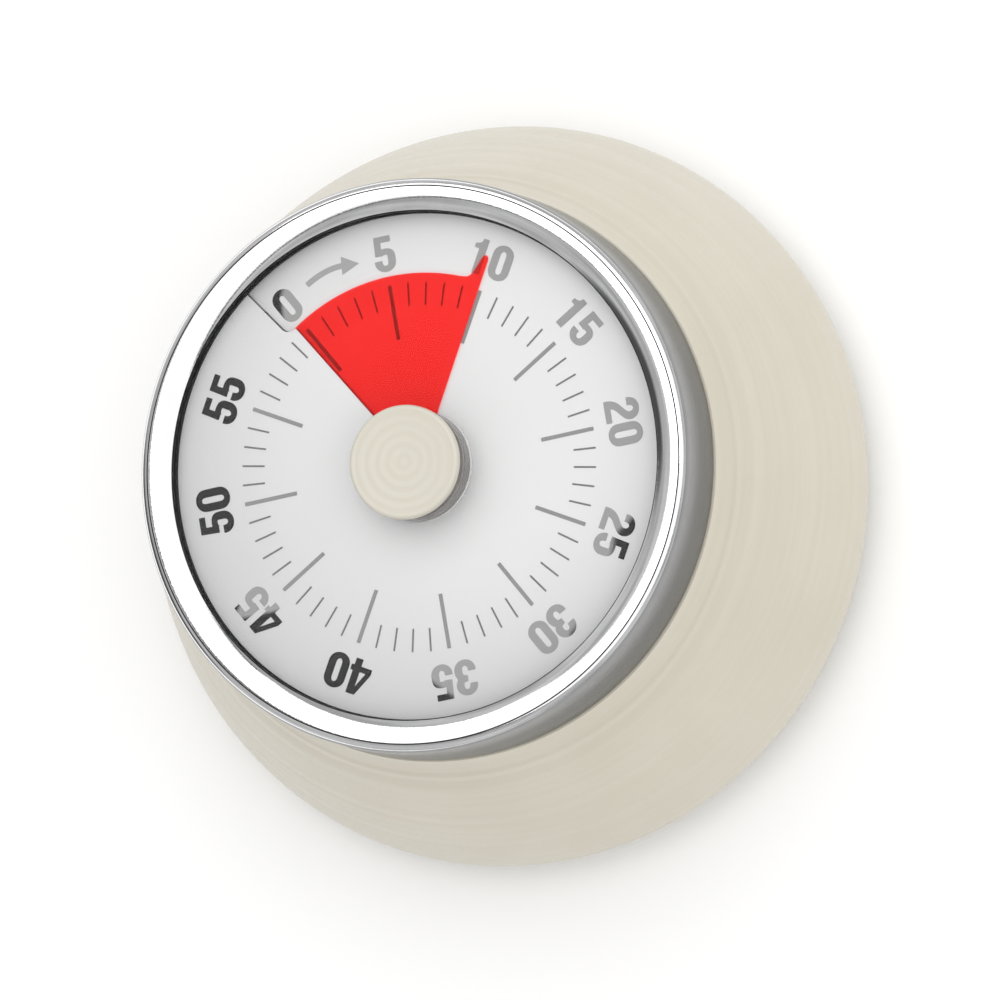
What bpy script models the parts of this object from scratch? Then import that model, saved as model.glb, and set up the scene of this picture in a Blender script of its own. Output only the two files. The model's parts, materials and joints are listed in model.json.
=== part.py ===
"""Clockwork kitchen timer, lying on its back: the dial faces +Z, its 0 mark is at +Y, the base is z = 0.

Units are metres; every dimension below is written in millimetres and scaled by MM.
Each object is one solid piece. Moving pieces have their origin on their joint axis.
"""

import math

import bmesh
import bpy
from mathutils import Vector

MM = 0.001

# Case
CASE_R = 40.0
CASE_WIDEST_Z = 6.0
SHOULDER_Z = 29.5
NECK_R = 29.1
RING_R = 30.8
RING_FRONT_Z = 39.2
LARGE_STEPS = 48
SMALL_STEPS = 24

# Dial, film and lens
DIAL_Z = 36.6
DIAL_R = 27.9
DIAL_HOLE_R = 4.8
DIAL_THICK = 0.25
FILM_THICK = 0.12
FILM_R = 20.8
POINTER_R = 23.6
HELIX_RISE = 0.6
SLIT_ANGLE = -2.1
SLIT_STEP_R = 20.6
SLIT_STEP = 3.2
REST_ANGLE = 60.0
LENS_Z = 37.5
LENS_THICK = 0.6

# Knob
KNOB_TOP_Z = 42.1
KNOB_R = 6.14
SLEEVE_R = 6.0

# Movement: plates, and each arbor's place
REAR_PLATE_Z = 15.0
FRONT_PLATE_Z = 30.4
PLATE_THICK = 1.0
PLATE_R = 26.0
PIVOT_HOLE_R = 0.9
ARBOR_R = 0.8
PIVOT_R = 0.6
PILLAR_R = 24.0
PILLAR_ANGLES = (20.0, 105.0, 200.0, 290.0)
POST_R = 27.0
POST_ANGLES = (90.0, 210.0, 330.0)
MAGNET_X = (-18.0, 18.0)
SLOT_Y = (-8.0, -4.0, 0.0, 4.0, 8.0)
CARRIER_SCREW_R = 22.0
CARRIER_SCREW_ANGLES = (60.0, 155.0, 330.0)

# Wheels: teeth, module and the clearances that make them run free
GREAT_TEETH, GREAT_MODULE = 60, 0.40
SECOND_TEETH, SECOND_MODULE = 48, 0.35
THIRD_TEETH, THIRD_MODULE = 48, 0.30
PINION_TEETH = 10
SMALL_PINION_TEETH = 8
MESH_PLAY = 0.18
SECOND_DIRECTION = 150.0
THIRD_DIRECTION = -100.0
ESCAPE_DIRECTION = -70.0
BALANCE_DIRECTION = -25.0
ESCAPE_TEETH = 15
ESCAPE_R = 5.0
BALANCE_GAP = 6.6

# Strike work
BELL_AT = (5.5, 0.0)
BELL_R = 17.0
HAMMER_AT = (12.7, -8.89)
HAMMER_HEAD_AT = (18.89, 2.36)

FINISHES = {
    "cream_enamel": ((0.70, 0.66, 0.54), 0.32, 0.0),
    "satin_steel": ((0.62, 0.61, 0.59), 0.30, 1.0),
    "clear_plastic": ((0.95, 0.96, 0.97), 0.04, 0.0),
    "white_print": ((0.78, 0.78, 0.76), 0.55, 0.0),
    "red_film": ((0.85, 0.03, 0.03), 0.35, 0.0),
    "grey_plastic": ((0.20, 0.20, 0.21), 0.55, 0.0),
    "white_plastic": ((0.80, 0.80, 0.78), 0.50, 0.0),
    "black_rubber": ((0.03, 0.03, 0.03), 0.85, 0.0),
    "magnet": ((0.10, 0.10, 0.11), 0.60, 0.3),
    "zinc_steel": ((0.55, 0.56, 0.58), 0.35, 1.0),
    "spring_steel": ((0.30, 0.33, 0.40), 0.30, 1.0),
    "brass": ((0.78, 0.57, 0.25), 0.30, 1.0),
    "bell_steel": ((0.70, 0.70, 0.72), 0.18, 1.0),
}


def clear_scene():
    for item in list(bpy.data.objects):
        bpy.data.objects.remove(item, do_unlink=True)


def new_collection(name, hidden=False):
    collection = bpy.data.collections.new(name)
    collection.hide_render = hidden
    bpy.context.scene.collection.children.link(collection)
    return collection


def surface(name, finish):
    colour, roughness, metallic = FINISHES[finish]
    made = bpy.data.materials.new(name)
    made.use_nodes = True
    shader = made.node_tree.nodes["Principled BSDF"]
    shader.inputs["Base Color"].default_value = (*colour, 1.0)
    shader.inputs["Roughness"].default_value = roughness
    shader.inputs["Metallic"].default_value = metallic
    return made


def add_object(name, bm, finish, at, smooth=False):
    """Puts the bmesh, drawn in millimetres, in the scene at a place given in millimetres."""
    bmesh.ops.scale(bm, vec=(MM, MM, MM), verts=bm.verts)
    mesh = bpy.data.meshes.new(name)
    bm.to_mesh(mesh)
    bm.free()
    for polygon in mesh.polygons:
        polygon.use_smooth = smooth
    item = bpy.data.objects.new(name, mesh)
    item.location = Vector(at) * MM
    item.data.materials.append(surface(f"{name}_finish", finish))
    TIMER.objects.link(item)
    return item


def lathe(name, profile, finish, at=(0.0, 0.0, 0.0), steps=SMALL_STEPS, closed=True):
    """Turns a profile of (radius, height) points, given down its outer side, about the Z axis."""
    bm = bmesh.new()
    corners = [bm.verts.new((radius, 0.0, height - at[2])) for radius, height in profile]
    for first, second in zip(corners, corners[1:]):
        bm.edges.new((first, second))
    if closed:
        bm.edges.new((corners[-1], corners[0]))
    item = add_object(name, bm, finish, at)
    screw = item.modifiers.new("Turn", "SCREW")
    screw.angle = math.tau
    screw.steps = steps
    screw.render_steps = steps
    screw.use_merge_vertices = True
    screw.merge_threshold = 1e-6
    screw.use_smooth_shade = True
    return item


def plate(name, outline, z_low, z_high, finish, at=(0.0, 0.0), holes=()):
    """Extrudes a flat outline with holes. The object's origin is at the given place, at z_low."""
    bm = bmesh.new()
    for loop in (outline, *holes):
        corners = [bm.verts.new((x, y, 0.0)) for x, y in loop]
        for first, second in zip(corners, corners[1:] + corners[:1]):
            bm.edges.new((first, second))
    bmesh.ops.triangle_fill(bm, use_beauty=True, edges=bm.edges[:])
    sides = bmesh.ops.extrude_face_region(bm, geom=bm.faces[:])
    raised = [part for part in sides["geom"] if isinstance(part, bmesh.types.BMVert)]
    bmesh.ops.translate(bm, vec=(0.0, 0.0, z_high - z_low), verts=raised)
    bmesh.ops.recalc_face_normals(bm, faces=bm.faces[:])
    return add_object(name, bm, finish, (at[0], at[1], z_low))


def polar(radius, degrees, centre=(0.0, 0.0)):
    turn = math.radians(degrees)
    return (centre[0] + radius * math.cos(turn), centre[1] + radius * math.sin(turn))


def circle(radius, points, centre=(0.0, 0.0), first=0.0):
    return [polar(radius, first + 360.0 * i / points, centre) for i in range(points)]


def arc(radius, start, end, points, centre=(0.0, 0.0)):
    return [polar(radius, start + (end - start) * i / (points - 1), centre) for i in range(points)]


def window(inner, outer, start, end, points):
    """An opening between two radii of a wheel or a cover."""
    return arc(outer, start, end, points) + arc(inner, end, start, points)


def windows(count, inner, outer, bar, points=6):
    """Openings round a wheel that leave bars of the given width in degrees."""
    pitch = 360.0 / count
    return [window(inner, outer, i * pitch + bar / 2, (i + 1) * pitch - bar / 2, points) for i in range(count)]


def bar_outline(start, end, start_r, end_r, points=7):
    """The outline of a lever: two rounded ends joined by straight sides."""
    heading = math.degrees(math.atan2(end[1] - start[1], end[0] - start[0]))
    return arc(start_r, heading + 90, heading + 270, points, start) + arc(
        end_r, heading - 90, heading + 90, points, end
    )


def teeth_outline(teeth, module, addendum, dedendum, root_width, tip_width, first=0.0):
    """A toothed outline whose first tooth points along the given angle."""
    pitch_r = teeth * module / 2
    root = pitch_r - dedendum
    tip = pitch_r + addendum
    outline = []
    for i in range(teeth):
        middle = first + 360.0 * i / teeth
        for radius, half in ((root, -root_width), (tip, -tip_width), (tip, tip_width), (root, root_width)):
            outline.append(polar(radius, middle + math.degrees(half / 2 / radius)))
    return outline


def union(item, other):
    """Joins a second solid to a piece and keeps the piece as one body."""
    joint = item.modifiers.new("Join", "BOOLEAN")
    joint.operation = "UNION"
    joint.solver = "EXACT"
    joint.object = other
    return item


def helper(item):
    """Keeps an object as a Boolean's operand only."""
    item.hide_render = True
    item.display_type = "WIRE"
    TIMER.objects.unlink(item)
    CUTTERS.objects.link(item)
    return item


def sheet(name, faces, finish, thickness, at):
    """A thin sheet from faces that share corner points, thickened evenly to both sides."""
    bm = bmesh.new()
    made = {}
    for face in faces:
        for point in face:
            if point not in made:
                made[point] = bm.verts.new(point)
        bm.faces.new([made[point] for point in face])
    bmesh.ops.recalc_face_normals(bm, faces=bm.faces[:])
    item = add_object(name, bm, finish, at)
    solid = item.modifiers.new("Thickness", "SOLIDIFY")
    solid.thickness = thickness * MM
    solid.offset = 0.0
    return item


def bolt(name, at, head_z, head_r, head_thick, shank_r, shank_end_z):
    """A slotted pan-head screw along Z. Its head starts at head_z and its shank runs to shank_end_z."""
    up = 1.0 if shank_end_z > head_z else -1.0
    inner = head_z + up * head_thick
    profile = [
        (0.0, head_z),
        (head_r * 0.80, head_z),
        (head_r, head_z + up * 0.3 * head_thick),
        (head_r, inner),
        (shank_r, inner),
        (shank_r, shank_end_z),
        (0.0, shank_end_z),
    ]
    if up > 0:
        profile.reverse()
    item = lathe(name, profile, "zinc_steel", (at[0], at[1], head_z), steps=10, closed=False)
    slot = plate(
        f"{name}_slot",
        [(-2 * head_r, -0.28), (2 * head_r, -0.28), (2 * head_r, 0.28), (-2 * head_r, 0.28)],
        head_z - 0.45 * head_thick,
        head_z + 0.45 * head_thick,
        "zinc_steel",
        at,
    )
    cut = item.modifiers.new("Slot", "BOOLEAN")
    cut.operation = "DIFFERENCE"
    cut.solver = "EXACT"
    cut.object = helper(slot)
    return item


def body_shell():
    """The one-piece domed case: a neck for the ring, a shoulder, and a wall that widens to the back."""
    profile = [
        (NECK_R - 2.1, 33.7),
        (NECK_R, 33.7),
        (NECK_R, SHOULDER_Z),
        (30.9, SHOULDER_Z),
        (31.2, 28.6),
        (32.0, 27.0),
        (32.9, 25.5),
        (34.3, 22.8),
        (36.0, 19.1),
        (37.5, 15.5),
        (38.7, 11.8),
        (39.55, 8.8),
        (CASE_R, CASE_WIDEST_Z),
        (39.85, 4.6),
        (39.2, 3.0),
        (38.2, 1.7),
        (37.1, 1.0),
        (36.8, 1.3),
        (36.8, 3.1),
        (35.4, 3.1),
        (35.4, 4.1),
        (38.0, CASE_WIDEST_Z),
        (37.5, 8.8),
        (35.4, 15.4),
        (32.3, 22.0),
        (NECK_R - 2.1, 28.2),
    ]
    lathe("body_shell", profile, "cream_enamel", steps=LARGE_STEPS)


def front_ring():
    """The metal ring on the neck. Its inner lip holds the lens."""
    lathe(
        "front_ring",
        [
            (27.8, 39.1),
            (28.4, RING_FRONT_Z),
            (29.8, RING_FRONT_Z),
            (30.5, 38.9),
            (RING_R, 38.2),
            (RING_R, SHOULDER_Z + 0.35),
            (NECK_R + 0.3, SHOULDER_Z + 0.35),
            (NECK_R + 0.3, 38.4),
            (26.8, 38.4),
        ],
        "satin_steel",
        steps=LARGE_STEPS,
    )


def lens():
    top = LENS_Z + LENS_THICK
    lathe(
        "lens",
        [(6.5, top), (NECK_R - 0.05, top), (NECK_R - 0.05, LENS_Z), (6.5, LENS_Z)],
        "clear_plastic",
        steps=LARGE_STEPS,
    )


def dial_carrier():
    """The moulded dish behind the dial. Its outer rim carries the lens, its inner step the dial."""
    floor = DIAL_Z - 2.4
    carrier = plate(
        "dial_carrier",
        circle(NECK_R - 0.05, LARGE_STEPS),
        floor,
        floor + 1.0,
        "white_plastic",
        holes=[circle(6.0, SMALL_STEPS)]
        + [circle(1.3, 8, polar(CARRIER_SCREW_R, angle)) for angle in CARRIER_SCREW_ANGLES],
    )
    rim = lathe(
        "dial_carrier_rim",
        [
            (28.2, DIAL_Z + 0.6),
            (NECK_R - 0.05, DIAL_Z + 0.6),
            (NECK_R - 0.05, floor + 0.5),
            (24.8, floor + 0.5),
            (24.8, DIAL_Z - 0.75),
            (28.2, DIAL_Z - 0.75),
        ],
        "white_plastic",
        steps=LARGE_STEPS,
    )
    union(carrier, helper(rim))


def helix_height(turned):
    """How far a sheet of the dial's pitch has risen after this many degrees."""
    return HELIX_RISE * turned / 360.0


def dial_plate():
    """The dial sheet: cut from hub to edge, with its two lips set apart so that the film passes between."""

    def point(radius, turned):
        x, y = polar(radius, 90.0 - SLIT_ANGLE - turned)
        return (round(x, 6), round(y, 6), round(helix_height(turned - 180.0), 6))

    def cell(inner, outer, start, end):
        return [point(inner, start), point(outer, start), point(outer, end), point(inner, end)]

    last = 360.0 - SLIT_STEP
    stations = [last * i / LARGE_STEPS for i in range(LARGE_STEPS + 1)]
    faces = []
    for start, end in zip(stations, stations[1:]):
        faces.append(cell(DIAL_HOLE_R, SLIT_STEP_R, start, end))
        faces.append(cell(SLIT_STEP_R, DIAL_R, start, end))
    faces.append(cell(DIAL_HOLE_R, SLIT_STEP_R, last, 360.0))
    faces.append(cell(SLIT_STEP_R, DIAL_R, -SLIT_STEP, 0.0))
    sheet("dial_plate", faces, "white_print", DIAL_THICK, (0.0, 0.0, DIAL_Z))


def red_film():
    """The time-left film. One turn of it rises by the dial's own pitch, so it screws through the slit."""
    lead = REST_ANGLE - SLIT_ANGLE
    spike = [
        (0.0, POINTER_R - 0.4),
        (0.5, POINTER_R),
        (1.3, POINTER_R),
        (1.9, POINTER_R - 0.4),
        (2.4, POINTER_R - 1.3),
        (3.1, FILM_R + 0.7),
        (4.4, FILM_R + 0.15),
        (6.5, FILM_R),
    ]
    steps = 44
    edge = spike + [(6.5 + (359.0 - 6.5) * i / steps, FILM_R) for i in range(1, steps + 1)]

    def point(radius, behind):
        x, y = polar(radius, 90.0 - REST_ANGLE + behind)
        return (round(x, 6), round(y, 6), round(helix_height(lead - behind), 6))

    faces = []
    for (start, start_r), (end, end_r) in zip(edge, edge[1:]):
        faces.append([point(3.5, start), point(start_r, start), point(end_r, end), point(3.5, end)])
    sheet("red_film", faces, "red_film", FILM_THICK, (0.0, 0.0, DIAL_Z))


def film_hub():
    lathe(
        "film_hub",
        [(4.3, DIAL_Z - 0.9), (4.3, DIAL_Z - 2.4), (3.2, DIAL_Z - 2.4), (3.2, DIAL_Z - 0.9)],
        "grey_plastic",
        (0.0, 0.0, DIAL_Z - 1.6),
    )


def knob():
    lathe(
        "knob_cap",
        [
            (0.0, KNOB_TOP_Z - 0.12),
            (5.3, KNOB_TOP_Z - 0.05),
            (5.85, KNOB_TOP_Z - 0.15),
            (KNOB_R, KNOB_TOP_Z - 0.5),
            (KNOB_R, KNOB_TOP_Z - 0.85),
            (5.9, KNOB_TOP_Z - 1.05),
            (0.0, KNOB_TOP_Z - 1.05),
        ],
        "cream_enamel",
        (0.0, 0.0, 41.0),
        steps=32,
        closed=False,
    )
    lathe(
        "knob_sleeve",
        [
            (5.7, 40.8),
            (5.7, 40.35),
            (SLEEVE_R, 40.1),
            (SLEEVE_R, DIAL_Z + 0.88),
            (3.2, DIAL_Z + 0.88),
            (3.2, 40.8),
        ],
        "satin_steel",
        (0.0, 0.0, 39.0),
        steps=32,
    )
    lathe(
        "main_arbor",
        [
            (0.0, 40.7),
            (2.9, 40.7),
            (2.9, 31.8),
            (1.5, 31.8),
            (1.5, 30.1),
            (2.2, 30.1),
            (2.2, 16.4),
            (1.5, 16.4),
            (1.5, 13.7),
            (0.0, 13.7),
        ],
        "zinc_steel",
        (0.0, 0.0, 25.0),
        steps=20,
        closed=False,
    )


def back_cover():
    """The cover with its sound slots, and the rubber foot and magnets that it carries."""
    holes = [circle(7.4, SMALL_STEPS, (x, 0.0)) for x in MAGNET_X]
    holes += [circle(1.5, 8, polar(POST_R, angle)) for angle in POST_ANGLES]
    for y in SLOT_Y:
        holes.append(bar_outline((-6.0, y), (6.0, y), 0.7, 0.7, points=4))
    plate("back_cover", circle(36.5, LARGE_STEPS), 1.05, 2.8, "grey_plastic", holes=holes)
    lathe(
        "foot_ring",
        [(34.0, 0.75), (34.2, 0.0), (30.0, 0.0), (30.2, 0.75)],
        "black_rubber",
        steps=LARGE_STEPS,
    )
    for index, x in enumerate(MAGNET_X, start=1):
        lathe(
            f"magnet_{index}",
            [(0.0, 3.0), (7.1, 3.0), (7.1, 0.5), (6.9, 0.3), (0.0, 0.3)],
            "magnet",
            (x, 0.0, 1.5),
            closed=False,
        )


def back_fixings():
    for index, angle in enumerate(POST_ANGLES, start=1):
        place = polar(POST_R, angle)
        lathe(
            f"cover_post_{index}",
            [
                (0.0, 14.7),
                (2.2, 14.7),
                (2.2, 3.1),
                (1.3, 3.1),
                (1.3, 8.0),
                (0.0, 8.0),
            ],
            "brass",
            (place[0], place[1], 9.0),
            steps=10,
            closed=False,
        )
        bolt(f"cover_screw_{index}", place, 0.1, 2.4, 0.8, 1.0, 7.5)


def wheel_places():
    """The arbors' places, each one a centre distance from the one before."""
    first = GREAT_MODULE * (GREAT_TEETH + PINION_TEETH) / 2 + MESH_PLAY
    second = SECOND_MODULE * (SECOND_TEETH + SMALL_PINION_TEETH) / 2 + MESH_PLAY
    third = THIRD_MODULE * (THIRD_TEETH + SMALL_PINION_TEETH) / 2 + MESH_PLAY
    second_at = polar(first, SECOND_DIRECTION)
    third_at = polar(second, THIRD_DIRECTION, second_at)
    escape_at = polar(third, ESCAPE_DIRECTION, third_at)
    balance_at = polar(BALANCE_GAP, BALANCE_DIRECTION, escape_at)
    return second_at, third_at, escape_at, balance_at


def frame_plates(arbors):
    """The two movement plates with a pivot hole for each arbor, and their pillars and nuts."""
    pillars = [polar(PILLAR_R, angle) for angle in PILLAR_ANGLES]
    shared = [circle(2.0, 16)] + [circle(PIVOT_HOLE_R, 8, place) for place in arbors]
    necks = [circle(1.2, 8, place) for place in pillars]
    carrier_holes = [circle(0.9, 8, polar(CARRIER_SCREW_R, angle)) for angle in CARRIER_SCREW_ANGLES]
    plate(
        "front_plate",
        circle(PLATE_R, 32),
        FRONT_PLATE_Z,
        FRONT_PLATE_Z + PLATE_THICK,
        "brass",
        holes=shared + necks + carrier_holes,
    )
    top = REAR_PLATE_Z + PLATE_THICK
    plate("rear_plate", plate_with_lugs(), REAR_PLATE_Z, top, "brass", holes=shared + necks)
    low = top + 0.2
    high = FRONT_PLATE_Z - 0.2
    for index, place in enumerate(pillars, start=1):
        lathe(
            f"pillar_{index}",
            [
                (0.0, high + 2.6),
                (0.9, high + 2.6),
                (0.9, high),
                (1.5, high),
                (1.5, low),
                (0.9, low),
                (0.9, REAR_PLATE_Z - 0.4),
                (0.0, REAR_PLATE_Z - 0.4),
            ],
            "zinc_steel",
            (place[0], place[1], (low + high) / 2),
            steps=10,
            closed=False,
        )
        plate(
            f"pillar_nut_{index}",
            circle(2.1, 6),
            FRONT_PLATE_Z + PLATE_THICK + 0.2,
            FRONT_PLATE_Z + PLATE_THICK + 1.3,
            "zinc_steel",
            place,
            holes=[circle(1.2, 8)],
        )
    for index, angle in enumerate(CARRIER_SCREW_ANGLES, start=1):
        bolt(f"carrier_screw_{index}", polar(CARRIER_SCREW_R, angle), DIAL_Z - 0.95, 1.1, 0.5, 0.7, 29.9)


def plate_with_lugs():
    """The rear plate's outline: round, with three lugs out to the cover posts."""
    outline = []
    for angle in sorted(POST_ANGLES):
        outline += arc(PLATE_R, angle - 108.0, angle - 9.0, 10)
        outline += [polar(30.0, angle - 5.0), polar(30.0, angle + 5.0)]
        outline += [polar(PLATE_R, angle + 9.0)]
    return outline


def mainspring():
    """A flat coiled spring round the main arbor, whose tail reaches the pillar that holds it."""
    turns, per_turn = 6, 18
    width, half = 3.8, 0.2
    path = []
    for i in range(turns * per_turn + 1):
        part = i / (turns * per_turn)
        angle = -50.0 - turns * 360.0 * (1.0 - part)
        path.append((*polar(2.9 + 8.0 * part, angle), angle + 86.0))
    end = polar(PILLAR_R, PILLAR_ANGLES[0])
    path.append((13.0, -2.8, 55.0))
    path.append((end[0] - 2.6, end[1] - 3.4, 50.0))
    path.append((end[0] - 1.9, end[1] + 0.2, 85.0))
    bm = bmesh.new()
    rows = []
    for x, y, heading in path:
        aside = polar(half, heading + 90.0)
        rows.append(
            [
                bm.verts.new((x + side * aside[0], y + side * aside[1], z))
                for side, z in ((1, 0.0), (-1, 0.0), (-1, width), (1, width))
            ]
        )
    for row, following in zip(rows, rows[1:]):
        for i in range(4):
            j = (i + 1) % 4
            bm.faces.new((row[i], row[j], following[j], following[i]))
    bm.faces.new(reversed(rows[0]))
    bm.faces.new(rows[-1])
    bmesh.ops.recalc_face_normals(bm, faces=bm.faces[:])
    add_object("mainspring", bm, "spring_steel", (0.0, 0.0, 16.5))


def arbor(name, at, end_z=REAR_PLATE_Z - 0.2):
    """A steel arbor between the plates, with a thinner pivot in each."""
    low = REAR_PLATE_Z + PLATE_THICK + 0.3
    high = FRONT_PLATE_Z - 0.3
    tip = FRONT_PLATE_Z + PLATE_THICK + 0.2
    profile = [
        (0.0, tip),
        (PIVOT_R, tip),
        (PIVOT_R, high),
        (ARBOR_R, high),
        (ARBOR_R, low),
        (PIVOT_R, low),
        (PIVOT_R, end_z),
        (0.0, end_z),
    ]
    return lathe(name, profile, "zinc_steel", (at[0], at[1], 22.0), steps=10, closed=False)


def arbor_with_pinion(name, at, teeth, module, widths, z_low, z_high):
    """An arbor and its pinion, cut from one piece."""
    item = arbor(name, at)
    leaves = plate(
        f"{name}_leaves",
        teeth_outline(teeth, module, widths[0], widths[1], widths[2], widths[3], widths[4]),
        z_low,
        z_high,
        "zinc_steel",
        at,
    )
    return union(item, helper(leaves))


def gear_train(second_at, third_at, escape_at):
    """Great, second and third wheels and the escape wheel, each meshed at rest."""
    plate(
        "great_wheel",
        teeth_outline(GREAT_TEETH, GREAT_MODULE, 0.30, 0.50, 0.50, 0.22, SECOND_DIRECTION),
        24.5,
        25.4,
        "brass",
        holes=[circle(2.5, 16)] + [circle(0.75, 8, polar(10.0, 40.0))] + windows(4, 4.6, 8.4, 24.0, 4),
    )
    second_phase = SECOND_DIRECTION + 180.0 + 180.0 / PINION_TEETH
    arbor_with_pinion(
        "second_pinion",
        second_at,
        PINION_TEETH,
        GREAT_MODULE,
        (0.28, 0.50, 0.50, 0.22, second_phase),
        24.0,
        26.0,
    )
    plate(
        "second_wheel",
        teeth_outline(SECOND_TEETH, SECOND_MODULE, 0.26, 0.45, 0.44, 0.20, THIRD_DIRECTION),
        27.4,
        28.1,
        "brass",
        second_at,
        holes=[circle(1.0, 10)] + windows(4, 2.4, 6.4, 30.0, 4),
    )
    third_phase = THIRD_DIRECTION + 180.0 + 180.0 / SMALL_PINION_TEETH
    arbor_with_pinion(
        "third_pinion",
        third_at,
        SMALL_PINION_TEETH,
        SECOND_MODULE,
        (0.26, 0.45, 0.40, 0.20, third_phase),
        27.0,
        28.5,
    )
    plate(
        "third_wheel",
        teeth_outline(THIRD_TEETH, THIRD_MODULE, 0.22, 0.40, 0.38, 0.16, ESCAPE_DIRECTION),
        20.8,
        21.5,
        "brass",
        third_at,
        holes=[circle(1.0, 10)] + windows(4, 2.2, 5.4, 32.0, 4),
    )
    escape_phase = ESCAPE_DIRECTION + 180.0 + 180.0 / SMALL_PINION_TEETH
    arbor_with_pinion(
        "escape_pinion",
        escape_at,
        SMALL_PINION_TEETH,
        THIRD_MODULE,
        (0.22, 0.40, 0.34, 0.16, escape_phase),
        20.4,
        22.0,
    )
    outline = []
    for i in range(ESCAPE_TEETH):
        tip = BALANCE_DIRECTION + 12.0 + 24.0 * i
        outline += [polar(3.9, tip - 6.0), polar(ESCAPE_R, tip - 0.7), polar(ESCAPE_R, tip + 0.7), polar(3.9, tip + 1.5)]
    plate(
        "escape_wheel",
        outline,
        27.4,
        28.1,
        "brass",
        escape_at,
        holes=[circle(1.0, 10)],
    )


def ratchet_work():
    """The ratchet on the main arbor and the click on the great wheel: winding slips, running down drives."""
    outline = []
    teeth = 16
    for i in range(teeth):
        face = 360.0 * i / teeth - 4.1
        outline += [polar(4.4, face), polar(4.75, face + 11.0), polar(5.2, face + 360.0 / teeth - 0.6)]
    plate("ratchet_wheel", outline, 23.1, 24.1, "zinc_steel", holes=[circle(2.5, 16)])
    stud = polar(10.0, 40.0)
    tip = (4.95 - stud[0], 0.0 - stud[1])
    plate(
        "click",
        bar_outline((0.0, 0.0), tip, 1.1, 0.2),
        23.1,
        24.1,
        "zinc_steel",
        stud,
        holes=[circle(0.75, 8)],
    )
    lathe(
        "click_stud",
        [(0.0, 25.7), (0.5, 25.7), (0.5, 22.2), (0.0, 22.2)],
        "zinc_steel",
        (stud[0], stud[1], 24.0),
        steps=8,
        closed=False,
    )
    coil("click_spring", stud, 0.95, 0.14, 22.35, 0.42, 1.5, 8, leg=2.0)


def coil(name, at, radius, wire, z_low, rise, turns, per_turn, leg):
    """A wire coil with one straight leg."""
    curve = bpy.data.curves.new(name, "CURVE")
    curve.dimensions = "3D"
    curve.bevel_depth = wire * MM
    curve.bevel_resolution = 1
    curve.use_fill_caps = True
    count = int(turns * per_turn) + 1
    points = [(*polar(radius, 360.0 * i / per_turn), z_low + rise * i / (count - 1)) for i in range(count)]
    x, y, z = points[0]
    points.insert(0, (x, y - leg, z))
    spline = curve.splines.new("POLY")
    spline.points.add(len(points) - 1)
    for target, (x, y, z) in zip(spline.points, points):
        target.co = (x * MM, y * MM, z * MM, 1.0)
    item = bpy.data.objects.new(name, curve)
    item.location = (at[0] * MM, at[1] * MM, 0.0)
    curve.materials.append(surface(f"{name}_finish", "spring_steel"))
    TIMER.objects.link(item)
    return item


def balance(at):
    """The pin-pallet lever and the inertia wheel that set the ticking rate."""
    arbor("balance_arbor", at)
    plate(
        "balance_wheel",
        circle(4.7, 28),
        20.8,
        21.9,
        "brass",
        at,
        holes=[circle(1.0, 10)] + windows(2, 2.0, 3.7, 30.0, 7),
    )
    inward = BALANCE_DIRECTION + 180.0
    tips = []
    for side in (-30.0, 30.0):
        x, y = polar(ESCAPE_R + 0.5, BALANCE_DIRECTION + side)
        centre = polar(BALANCE_GAP, BALANCE_DIRECTION)
        tips.append((x - centre[0], y - centre[1]))
    tips.sort(key=lambda tip: (math.degrees(math.atan2(tip[1], tip[0])) - inward) % 360.0)
    outline = arc(1.6, inward + 100.0, inward + 260.0, 7)
    for tip in (tips[1], tips[0]):
        heading = math.degrees(math.atan2(tip[1], tip[0]))
        outline += arc(0.5, heading - 90.0, heading + 90.0, 5, tip)
        if tip is tips[1]:
            outline.append(polar(1.5, inward))
    lever = plate("pallet_lever", outline, 28.5, 29.1, "zinc_steel", at, holes=[circle(1.0, 10)])
    for index, tip in enumerate(tips, start=1):
        pin = plate(
            f"pallet_pin_{index}",
            circle(0.25, 8, tip),
            27.1,
            28.8,
            "zinc_steel",
            at,
        )
        union(lever, helper(pin))


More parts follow.
